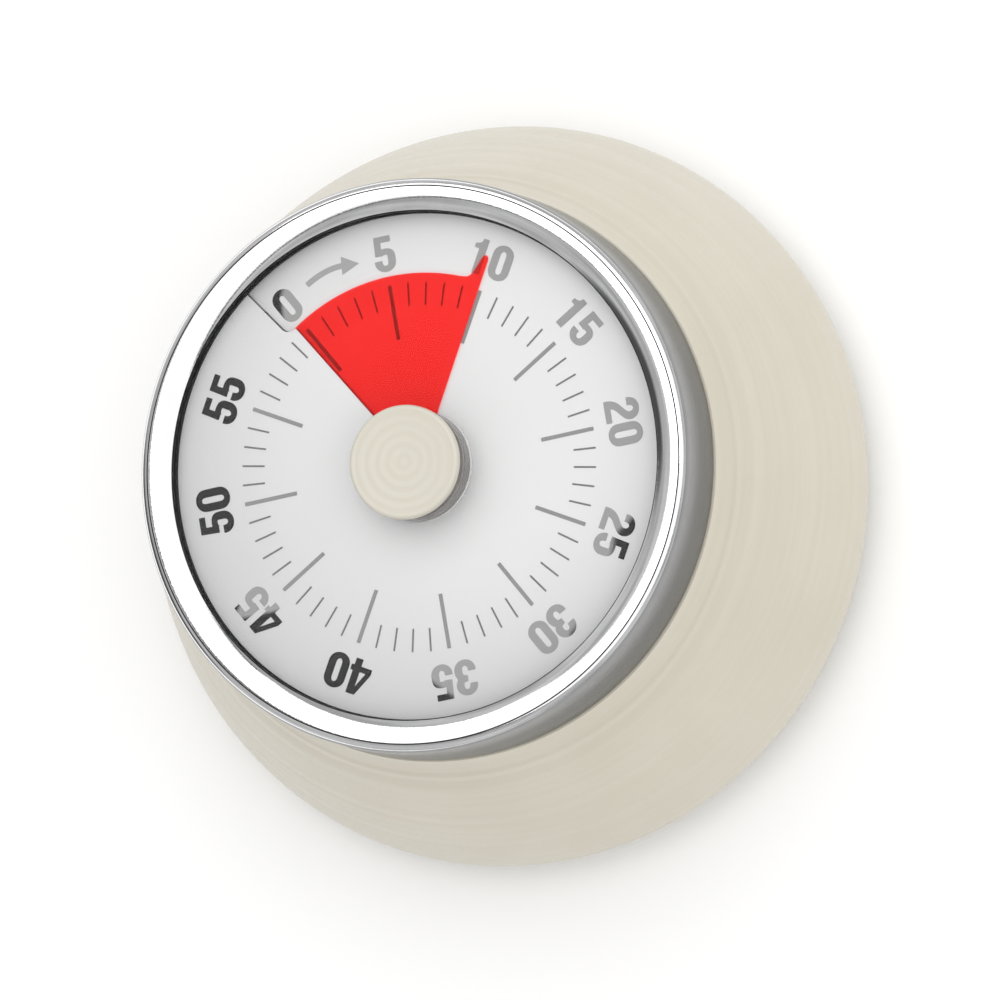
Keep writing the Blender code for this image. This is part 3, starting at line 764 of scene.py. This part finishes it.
def bezel_ring(chrome, satin, dark_groove_shade):
    """The chromed ring: a crowned face that rolls in to the lens, a groove near its edge and a satin side."""
    crest = BEZEL_FOOT[1] + BEZEL_ROLL * math.radians(BEZEL_TILT) / 2
    face = [(27.22, 38.15), (27.22, 38.46), (27.26, 38.55), BEZEL_FOOT]
    face += arc_from_tilt(BEZEL_FOOT, BEZEL_ROLL, BEZEL_TILT, 24)[1:]
    face += [
        (BEZEL_FOOT[0] + BEZEL_ROLL, crest),
        (29.62, crest - 0.005),
        (29.82, crest - 0.025),
        (29.85, crest - 0.10),
        (29.93, crest - 0.10),
        (29.97, crest - 0.045),
        (30.20, crest - 0.10),
        (30.42, crest - 0.22),
        (30.60, crest - 0.40),
        (30.72, crest - 0.62),
        (30.78, crest - 0.88),
        (30.80, 38.10),
    ]
    side = [
        (30.80, 33.50),
        (30.80, 30.10),
        (30.74, 29.90),
        (30.60, 29.85),
        (29.40, 29.85),
        (29.40, 38.15),
    ]
    points, faces = lathe(face + side, FINE)
    piece = add_piece("bezel_ring", points, faces, chrome, "case", ["front_ring"], 28.0)
    for extra in (satin, dark_groove_shade):
        piece.data.materials.append(extra)
    for polygon in piece.data.polygons:
        centre = polygon.center / MM
        radius = math.hypot(centre.x, centre.y)
        # Painted shade: the lip's inner edge and the groove get the dark material
        if radius < BEZEL_INSIDE_R or BEZEL_GROOVE_R[0] < radius < BEZEL_GROOVE_R[1]:
            polygon.material_index = 2
        elif centre.z < BEZEL_SIDE_TOP and radius > BEZEL_SIDE_R:
            polygon.material_index = 1


def dial_spacer(material):
    """A dark ring between the dial's edge and the lens, seen below the bezel's inner edge: painted shade for
    the gap under the bezel's lip.
    """
    (inner, outer), (low, high) = GAP_SHADE_RING_R, GAP_SHADE_RING_Z
    points, faces = lathe([(inner, low), (outer, low), (outer, high), (inner, high)], FINE)
    add_piece("dial_spacer", points, faces, material, "case")


def lens_window(material):
    profile = [(LENS_HOLE_R, LENS_HIGH), (LENS_R, LENS_HIGH), (LENS_R, LENS_LOW), (LENS_HOLE_R, LENS_LOW)]
    points, faces = lathe(profile, FINE)
    add_piece("lens_window", points, faces, material, "case", ["lens"])


# ---------------------------------------------------------------- dial, print and film


def slit_offset(radius):
    """How far the slit has stepped aside at this radius, in degrees."""
    t = min(max((radius - SLIT_STEP_R) / SLIT_CORNER, 0.0), 1.0)
    return SLIT_STEP * math.sqrt(1 - (1 - t) ** 2)


def dial_height(from_slit):
    return DIAL_Z + RISE * (from_slit - 180.0) / 360.0


def on_dial(radius, clockwise):
    return polar(radius, 90.0 - clockwise)


def dial_top(x, y):
    """The height of the dial's upper surface at a point."""
    radius = math.hypot(x, y)
    clockwise = math.degrees(math.atan2(x, y))
    from_slit = clockwise - SLIT_ANGLE
    while from_slit < slit_offset(radius) - 1e-6:
        from_slit += 360.0
    while from_slit >= 360.0 + slit_offset(radius) - 1e-6:
        from_slit -= 360.0
    return dial_height(from_slit) + DIAL_THICK / 2


def dial_face(material):
    """The printed sheet, cut from hub to edge. It climbs one pitch in a turn: the film passes its cut."""
    radii = [DIAL_HOLE_R, 7.0, 10.0, 13.0, 16.0, 18.5, 20.0]
    radii += [SLIT_STEP_R + SLIT_CORNER * i / 8 for i in range(9)]
    radii += [22.6, 23.6, 24.6, 25.6, 26.6, 27.3, DIAL_R]
    rows = []
    for radius in radii:
        gap = math.degrees(SLIT_GAP / 2 / radius)
        start = slit_offset(radius) + gap
        end = 360.0 + slit_offset(radius) - gap
        row = []
        for i in range(FINE + 1):
            from_slit = start + (end - start) * i / FINE
            row.append((*on_dial(radius, from_slit + SLIT_ANGLE), dial_height(from_slit)))
        rows.append(row)
    points, faces = slab(rows, DIAL_THICK)
    add_piece("dial_face", points, faces, material, "case", ["dial_plate"])


def printed(name, shapes, material):
    """Ink on the dial: flat shapes that follow its surface."""
    points, faces = prism(
        shapes,
        lambda x, y: dial_top(x, y) - INK_SUNK,
        lambda x, y: dial_top(x, y) + INK,
    )
    add_piece(name, points, faces, material, "case")


def tick(clockwise, inner, outer, width):
    half = width / 2
    away = Vector(on_dial(1.0, clockwise))
    aside = Vector((away.y, -away.x))
    return [away * r + aside * s for r, s in ((inner, -half), (outer, -half), (outer, half), (inner, half))]


def arrow_shapes():
    """A curved arrow beside the 0, whose head points the way the knob is turned to set it."""
    tail, bend, neck, tip = (Vector(point) for point in (ARROW_TAIL, ARROW_BEND, ARROW_NECK, ARROW_TIP))
    spine = []
    steps = 12
    for i in range(steps + 1):
        t = i / steps
        middle = tail * (1 - t) ** 2 + bend * 2 * t * (1 - t) + neck * t**2
        along = ((bend - tail) * (1 - t) + (neck - bend) * t).normalized()
        aside = Vector((-along.y, along.x)) * ARROW_WIDTH / 2
        spine.append((middle + aside, middle - aside))
    shapes = [[a[0], a[1], b[1], b[0]] for a, b in zip(spine, spine[1:])]
    along = (tip - neck).normalized()
    aside = Vector((-along.y, along.x)) * ARROW_HEAD_WIDTH / 2
    shapes.append([neck - along * 0.1 + aside, neck - along * 0.1 - aside, tip])
    return shapes


def ellipse(centre, rx, ry, start, end, steps=14):
    """Points of an elliptical arc, its angles in degrees anticlockwise from +X."""
    made = []
    for i in range(steps + 1):
        turn = math.radians(start + (end - start) * i / steps)
        made.append((centre[0] + rx * math.cos(turn), centre[1] + ry * math.sin(turn)))
    return made


def bezier(p0, p1, p2, p3, steps=12):
    made = []
    for i in range(steps + 1):
        t = i / steps
        weights = ((1 - t) ** 3, 3 * t * (1 - t) ** 2, 3 * t * t * (1 - t), t**3)
        made.append(tuple(sum(w * p[k] for w, p in zip(weights, (p0, p1, p2, p3))) for k in (0, 1)))
    return made


def pen(path, closed=False):
    """A stroke along a path with a broad pen: STEM wide where it runs up, BAR wide where it runs across."""
    clean = [path[0]]
    for point in path[1:]:
        if math.dist(point, clean[-1]) > 1e-4:
            clean.append(point)
    if closed and math.dist(clean[0], clean[-1]) < 1e-4:
        clean.pop()
    count = len(clean)
    sides = []
    for i, (x, y) in enumerate(clean):
        before = clean[i - 1] if closed or i else clean[i]
        after = clean[(i + 1) % count] if closed or i < count - 1 else clean[i]
        along = Vector((after[0] - before[0], after[1] - before[1])).normalized()
        aside = Vector((-along.y, along.x))
        half = math.hypot(STEM * aside.x, BAR * aside.y) / 2
        sides.append((Vector((x, y)) + aside * half, Vector((x, y)) - aside * half))
    pairs = zip(sides, sides[1:] + (sides[:1] if closed else []))
    return [[a[0], a[1], b[1], b[0]] for a, b in pairs]


def digit_shapes(digit):
    """The flat shapes of a bold condensed digit, one unit high."""
    left, right = STEM / 2, DIGIT_WIDTH - STEM / 2
    foot, head = BAR / 2, 1 - BAR / 2
    middle = (left + right) / 2
    reach = right - left
    bowl = 0.20
    over = ellipse((middle, head - bowl), reach / 2, bowl, 180, 0)
    under = ellipse((middle, foot + bowl), reach / 2, bowl, 0, -180)
    if digit == "0":
        return pen(over + under, closed=True)
    if digit == "1":
        return [
            [(0.195, 0.0), (0.420, 0.0), (0.420, 1.0), (0.250, 1.0), (0.195, 0.70)],
            [(0.195, 0.70), (0.250, 1.0), (0.225, 0.90), (0.150, 0.845), (0.055, 0.83), (0.055, 0.70)],
        ]
    if digit == "2":
        down = bezier((right, head - bowl), (right, 0.50), (left + 0.01, 0.42), (left + 0.01, BAR * 0.9))
        base = [(0.0, 0.0), (DIGIT_WIDTH, 0.0), (DIGIT_WIDTH, BAR), (0.0, BAR)]
        return pen([(left, 0.655), *over, *down]) + [base]
    if digit == "3":
        upper = bezier((right, head - bowl), (right, 0.575), (middle + 0.09, 0.525), (middle - 0.05, 0.525))
        lower = bezier((middle - 0.05, 0.525), (middle + 0.12, 0.525), (right, 0.46), (right, foot + bowl))
        return pen([(left, 0.675), *over, *upper]) + pen([*lower, *under, (left, 0.33)])
    if digit == "4":
        return [
            [(0.335, 0.0), (0.545, 0.0), (0.545, 1.0), (0.335, 1.0)],
            [(0.0, 0.20), (0.625, 0.20), (0.625, 0.36), (0.0, 0.36)],
            [(0.0, 0.36), (0.155, 0.36), (0.345, 0.80), (0.345, 1.0), (0.285, 1.0)],
        ]
    crown = (middle + 0.02, 0.565)
    turn = bezier((left + 0.04, 0.49), (left + 0.06, 0.545), (middle - 0.06, 0.565), crown, 6)
    turn += bezier(crown, (right - 0.03, 0.565), (right, 0.50), (right, 0.38))
    return pen([*turn, *under, (left, 0.33)]) + [
        [(0.065, 1.0), (0.065, 1.0 - BAR), (0.545, 1.0 - BAR), (0.545, 1.0)],
        [(0.065, 1.0), (0.04, 0.46), (0.235, 0.46), (0.255, 1.0)],
    ]


def numeral_shapes(text, clockwise):
    """The shapes of a number that stands on the dial with its top outwards."""
    away = Vector(on_dial(1.0, clockwise))
    aside = Vector((away.y, -away.x))
    widths = [ONE_WIDTH if digit == "1" else DIGIT_WIDTH for digit in text]
    total = sum(widths) + DIGIT_GAP * (len(text) - 1)
    shapes = []
    start = -total / 2
    for digit, width in zip(text, widths):
        for shape in digit_shapes(digit):
            placed = []
            for x, y in shape:
                across = (start + x) * NUMERAL_HEIGHT
                out = NUMERAL_R + (y - 0.5) * NUMERAL_HEIGHT
                placed.append(away * out + aside * across)
            shapes.append(placed)
        start += width + DIGIT_GAP
    return shapes


def dial_print():
    """The minute ticks, the numerals and the arrow, with the ticks from 0 to 10 in a stronger ink."""
    long_ticks, short_ticks, strong_ticks, numerals = [], [], [], []
    for minute in range(60):
        clockwise = minute * MINUTE
        if minute % 5:
            shape, kind = tick(clockwise, SHORT_TICK_R, TICK_R, SHORT_TICK_WIDTH), short_ticks
        else:
            shape, kind = tick(clockwise, LONG_TICK_R, TICK_R, LONG_TICK_WIDTH), long_ticks
            numerals += numeral_shapes(str(minute), clockwise)
        (strong_ticks if minute < 10 else kind).append(shape)
    # The second tone of each ink is the painted reflection of the lens
    printed("five_minute_ticks", long_ticks, printing_ink("tick_ink", 0.24, 0.25))
    printed("minute_ticks", short_ticks, printing_ink("fine_tick_ink", 0.15, 0.17))
    printed("first_ten_minutes_ticks", strong_ticks, printing_ink("strong_tick_ink", 0.055, 0.065))
    printed("dial_numerals", numerals, printing_ink("numeral_ink", 0.022, 0.30))
    printed("turn_arrow", arrow_shapes(), printing_ink("arrow_ink", 0.31, 0.33))


def film_edge(behind):
    """The film's outer radius at this angle behind its leading edge: a small pointer, then a plain arc."""
    for (a, low), (b, high) in zip(FILM_EDGE, FILM_EDGE[1:]):
        if behind <= b:
            return low + (high - low) * (behind - a) / (b - a)
    return FILM_R


def red_film_sheet(material):
    """The film, most of it under the dial. It climbs by the dial's pitch, so it screws through the cut."""
    arc_start = FILM_POINTER_STEPS[-1]
    behind = [*FILM_POINTER_STEPS]
    behind += [arc_start + (FILM_SPAN - arc_start) * i / 200 for i in range(1, 201)]
    rows = []
    for angle in behind:
        wide = film_edge(angle) - FILM_HOLE_R
        height = DIAL_Z + RISE * (FILM_LEAD - SLIT_ANGLE - angle) / 360.0
        radii = [FILM_HOLE_R + wide * i / 8 for i in range(9)]
        rows.append([(*on_dial(radius, FILM_LEAD - angle), height) for radius in radii])
    points, faces = slab(rows, FILM_THICK)
    add_piece("red_film_sheet", points, faces, material, "film", ["red_film"])


# ---------------------------------------------------------------- knob


def knob_pieces(enamel, steel):
    """The enamelled cap with its turned rings, on a steel sleeve with a groove below the cap."""
    top = []
    for i in range(61):
        radius = CAP_FACE_R * i / 60
        ripple = CAP_RIPPLE * math.cos(math.tau * radius / CAP_RIPPLE_PITCH) * min(1.0, radius / 0.6)
        top.append((radius, CAP_FACE_Z + CAP_DISH * (radius / CAP_FACE_R) ** 2 + ripple))
    rim = [(5.75, 42.04), (5.92, 42.00), (6.05, 41.90), (6.12, 41.74), (6.14, 41.55), (6.14, 41.35)]
    low = [(6.10, 41.20), (5.98, 41.10), (5.85, 41.05), (0.0, 41.05)]
    points, faces = lathe(top + rim + low, FINE)
    add_piece("knob_cap_turned", points, faces, enamel, "knob", ["knob_cap"])
    sleeve = [
        (3.2, 40.80),
        (5.62, 40.80),
        (5.70, 40.72),
        (5.70, 40.38),
        (5.76, 40.30),
        (5.94, 40.12),
        (6.00, 40.02),
        (6.00, 39.40),
        (5.96, 39.36),
        (5.96, 39.28),
        (6.00, 39.24),
        (6.00, 37.60),
        (5.92, 37.48),
        (3.2, 37.48),
    ]
    points, faces = lathe(sleeve, SLEEVE_STEPS)
    add_piece("knob_sleeve_turned", points, faces, steel, "knob", ["knob_sleeve"], 28.0)


# ---------------------------------------------------------------- back


def circle(radius, count, centre=(0.0, 0.0)):
    return [polar(radius, 360.0 * i / count, centre) for i in range(count)]


def plate_piece(name, outline, holes, low, high, bevel, material, body, replaced):
    """A flat moulding with holes and softened edges."""
    bm = bmesh.new()
    for loop in (outline, *holes):
        corners = [bm.verts.new((x * MM, y * MM, low * MM)) for x, y in loop]
        for first, second in zip(corners, corners[1:] + corners[:1]):
            bm.edges.new((first, second))
    bmesh.ops.triangle_fill(bm, use_beauty=True, edges=bm.edges[:])
    made = bmesh.ops.extrude_face_region(bm, geom=bm.faces[:])
    raised = [part for part in made["geom"] if isinstance(part, bmesh.types.BMVert)]
    bmesh.ops.translate(bm, vec=(0.0, 0.0, (high - low) * MM), verts=raised)
    bmesh.ops.recalc_face_normals(bm, faces=bm.faces[:])
    mesh = mesh_from(name, bm)
    smooth_mesh(mesh, 30.0)
    mesh.materials.append(material)
    piece = linked_object(name, mesh)
    soften = piece.modifiers.new("Soften", "BEVEL")
    soften.width = bevel * MM
    soften.segments = 2
    soften.limit_method = "ANGLE"
    soften.angle_limit = math.radians(50.0)
    soften.harden_normals = True
    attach(piece, body)
    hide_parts(*replaced)


def slot_outline(y, half_length, half_width, steps=12):
    right = [polar(half_width, -90 + 180.0 * i / steps, (half_length, y)) for i in range(steps + 1)]
    left = [polar(half_width, 90 + 180.0 * i / steps, (-half_length, y)) for i in range(steps + 1)]
    return right + left


def node_centre(name):
    low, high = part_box(name)
    middle = (low + high) / 2 / MM
    return middle.x, middle.y


def back_pieces(plastic, rubber, ferrite, zinc):
    """The cover with its sound slots, the rubber foot, the magnets and the cover's screws."""
    magnets = [node_centre(f"magnet_{i}") for i in (1, 2)]
    screws = [node_centre(f"cover_screw_{i}") for i in (1, 2, 3)]
    holes = [circle(MAGNET_HOLE_R, MEDIUM, place) for place in magnets]
    holes += [circle(SCREW_HOLE_R, COARSE, place) for place in screws]
    holes += [slot_outline(y, SOUND_SLOT_HALF_LENGTH, SOUND_SLOT_HALF_WIDTH) for y in SOUND_SLOTS]
    plate_piece(
        "back_cover_moulded",
        circle(COVER_R, FINE),
        holes,
        COVER_LOW,
        COVER_HIGH,
        COVER_BEVEL,
        plastic,
        "case",
        ["back_cover"],
    )
    foot = rounded([(30.0, 0.0), (34.2, 0.0), (34.0, 0.75), (30.2, 0.75)], {0: 0.2, 1: 0.2, 2: 0.1, 3: 0.1})
    points, faces = lathe(foot, FINE)
    add_piece("foot_ring_rubber", points, faces, rubber, "case", ["foot_ring"])
    for index, centre in enumerate(magnets, start=1):
        profile = [(0.0, 3.0), (7.1, 3.0), (7.1, 0.3), (0.0, 0.3)]
        points, faces = lathe(rounded(profile, {1: 0.15, 2: 0.25}), MEDIUM, centre)
        add_piece(f"magnet_disc_{index}", points, faces, ferrite, "case", [f"magnet_{index}"])
    for index, centre in enumerate(screws, start=1):
        screw_piece(index, centre, zinc)


def screw_piece(index, centre, zinc):
    """A pan-head screw with a slot, seen from behind, and its threaded shank."""
    shank = []
    for i in range(THREAD_TURNS + 1):
        z = THREAD_START + THREAD_LENGTH * i / THREAD_TURNS
        shank += [(0.80, z), (1.0, z + 0.25)]
    profile = [(0.0, 0.1), (1.55, 0.1), (2.05, 0.2), (2.33, 0.42), (2.4, 0.62), (2.4, 0.9), (0.9, 0.9)]
    points, faces = lathe(profile + shank + [(0.6, 7.5), (0.0, 7.5)], COARSE, centre)
    piece = add_piece(
        f"cover_screw_head_{index}", points, faces, zinc, "case", [f"cover_screw_{index}"]
    )
    long, wide = SCREW_SLOT_HALF_LENGTH, SCREW_SLOT_HALF_WIDTH
    outline = ((-long, -wide), (long, -wide), (long, wide), (-long, wide))
    corners = [(centre[0] + x, centre[1] + y, z) for z in SCREW_SLOT_Z for x, y in outline]
    faces = ((3, 2, 1, 0), (4, 5, 6, 7), (0, 1, 5, 4), (1, 2, 6, 5), (2, 3, 7, 6), (3, 0, 4, 7))
    cutter = linked_object("slot_cutter", solid_mesh("slot_cutter", corners, faces))
    cut = piece.modifiers.new("Slot", "BOOLEAN")
    cut.operation = "DIFFERENCE"
    cut.solver = "EXACT"
    cut.object = cutter
    graph = bpy.context.evaluated_depsgraph_get()
    applied = bpy.data.meshes.new_from_object(piece.evaluated_get(graph))
    piece.modifiers.clear()
    piece.data = applied
    piece.data.set_sharp_from_angle(angle=math.radians(35.0))
    bpy.data.objects.remove(cutter, do_unlink=True)


# ---------------------------------------------------------------- kept CAD nodes


def finish_kept_nodes(finishes):
    """Gives each CAD node that still shows its finish, by the record's material slot."""
    for subpart in frame["record"]["subparts"]:
        node = frame["nodes"][subpart["node"]]
        if node.hide_render:
            continue
        node.data.materials.clear()
        node.data.materials.append(finishes[subpart["material_slot"]])


# ---------------------------------------------------------------- stage


def place_camera():
    data = bpy.data.cameras.new("camera")
    data.sensor_width = 36.0
    data.lens = LENS_LENGTH
    data.clip_start = 0.05
    data.clip_end = 50.0
    camera = linked_object("camera", data)
    back = -LOOK.normalized()
    right = PICTURE_UP.cross(back).normalized()
    up = back.cross(right)
    turn = Matrix((right, up, back)).transposed()
    camera.matrix_world = Matrix.Translation(Vector((0, 0, DIAL_Z * MM)) + CAMERA_FROM_DIAL) @ turn.to_4x4()
    bpy.context.scene.camera = camera


def overhead_lamp():
    """A soft square lamp that faces the object."""
    data = bpy.data.lights.new("overhead_panel", "AREA")
    data.shape = "SQUARE"
    data.size = LAMP_SIDE
    data.energy = LAMP_POWER
    lamp = linked_object("overhead_panel", data)
    toward = LAMP_TOWARD.normalized()
    lamp.location = toward * LAMP_DISTANCE
    lamp.rotation_euler = toward.to_track_quat("Z", "Y").to_euler()


def light_tent():
    """A soft world, brighter on one side, that the metals see as grey walls round a white opening."""
    world = bpy.data.worlds.new("studio")
    bpy.context.scene.world = world
    tree = Tree(world)
    where = tree.add("ShaderNodeTexCoord").outputs["Generated"]
    toward = tree.facing(where, TENT_OPENING)
    opening = tree.ramp(toward, *TENT_EDGE)
    seam = tree.ramp(toward, *TENT_SEAM, 1.0, TENT_SEAM_SHADE)
    folds = tree.ramp(tree.noise(where, 2.5, 2.0), 0.35, 0.65, *TENT_WALL)
    shade = tree.ramp(tree.facing(where, TENT_GAP), *TENT_GAP_EDGE, 1.0, TENT_GAP_SHADE)
    wall = tree.math("MULTIPLY", tree.math("MULTIPLY", folds, seam), shade)
    mirrored = tree.mix(opening, tree.vector(wall, wall, wall), TENT_WHITE)
    level = tree.ramp(tree.facing(where, TENT_BRIGHT_SIDE), -1.0, 1.0, *TENT_LIGHT, smooth=False)
    glossy = tree.add("ShaderNodeLightPath").outputs["Is Glossy Ray"]
    colour = tree.mix(glossy, tree.vector(level, level, level), mirrored)
    background = tree.add("ShaderNodeBackground", {"Color": colour, "Strength": 1.0})
    tree.add("ShaderNodeOutputWorld", {"Surface": background.outputs[0]})


def pale_floor():
    material, tree = new_material("studio_floor")
    grain = tree.noise(tree.place(), 0.02, 2.0)
    shader = tree.add(
        "ShaderNodeBsdfPrincipled",
        {
            "Base Color": tree.mix(grain, (0.94, 0.94, 0.94), (0.95, 0.95, 0.95)),
            "Roughness": 0.9,
            "Specular IOR Level": 0.1,
        },
    )
    tree.finish(shader.outputs[0])
    bm = bmesh.new()
    bmesh.ops.create_circle(bm, cap_ends=True, radius=FLOOR_R, segments=MEDIUM)
    mesh = mesh_from("studio_floor", bm)
    mesh.materials.append(material)
    floor = linked_object("studio_floor", mesh)


def main():
    place_camera()
    overhead_lamp()
    light_tent()
    pale_floor()
    bpy.context.scene.view_settings.view_transform = "Standard"
    enamel = cream_enamel()
    black = (0.022, 0.022, 0.023)
    rubber = moulded("foot_rubber", black, 0.80, grain=6.0, depth=0.03, mottle=0.2, specular=0.3)
    cap = cap_enamel()
    chrome = plain_metal("bezel_chrome", (0.90, 0.90, 0.91), 0.04, grain=6.0, depth=0.008, tint=0.04)
    # Painted shade on the bezel's satin side, darker towards the case
    painted_root_shade = (34.0, 38.3, 0.50)
    satin = turned_metal("bezel_satin", (0.30, 0.30, 0.302), 0.30, lines=18.0, flat=False, painted_root_shade=painted_root_shade)
    sleeve = turned_metal("sleeve_steel", (0.36, 0.34, 0.33), 0.24, lines=20.0, depth=0.003, flat=False)
    dark_groove_shade = plain_metal("bezel_painted_shade", (0.05, 0.05, 0.05), 0.40, grain=5.0, tint=0.5)
    case_shell(enamel)
    bezel_ring(chrome, satin, dark_groove_shade)
    lens_window(lens_clear())
    dial_spacer(rubber)
    dial_face(dial_paper())
    dial_print()
    red_film_sheet(film_red())
    knob_pieces(cap, sleeve)
    slate = moulded("slate_plastic", (0.085, 0.085, 0.090), 0.55, grain=4.0, depth=0.03, mottle=0.08)
    ferrite = moulded("magnet_ferrite", (0.055, 0.055, 0.060), 0.55, grain=5.0, depth=0.02, mottle=0.25)
    zinc = plain_metal("zinc_plate", (0.62, 0.64, 0.66), 0.32)
    back_pieces(slate, rubber, ferrite, zinc)
    finishes = {
        "white_plastic": moulded("white_moulding", (0.78, 0.78, 0.76), 0.45),
        "grey_plastic": slate,
        "zinc_steel": zinc,
        "spring_steel": plain_metal("spring_temper", (0.24, 0.27, 0.36), 0.28, grain=10.0),
        "brass": plain_metal("stamped_brass", (0.78, 0.57, 0.25), 0.27),
        "bell_steel": turned_metal("bell_nickel", (0.74, 0.73, 0.71), 0.14, lines=8.0, centre=(5.5, 0.0)),
        "satin_steel": sleeve,
    }
    finish_kept_nodes(finishes)


main()
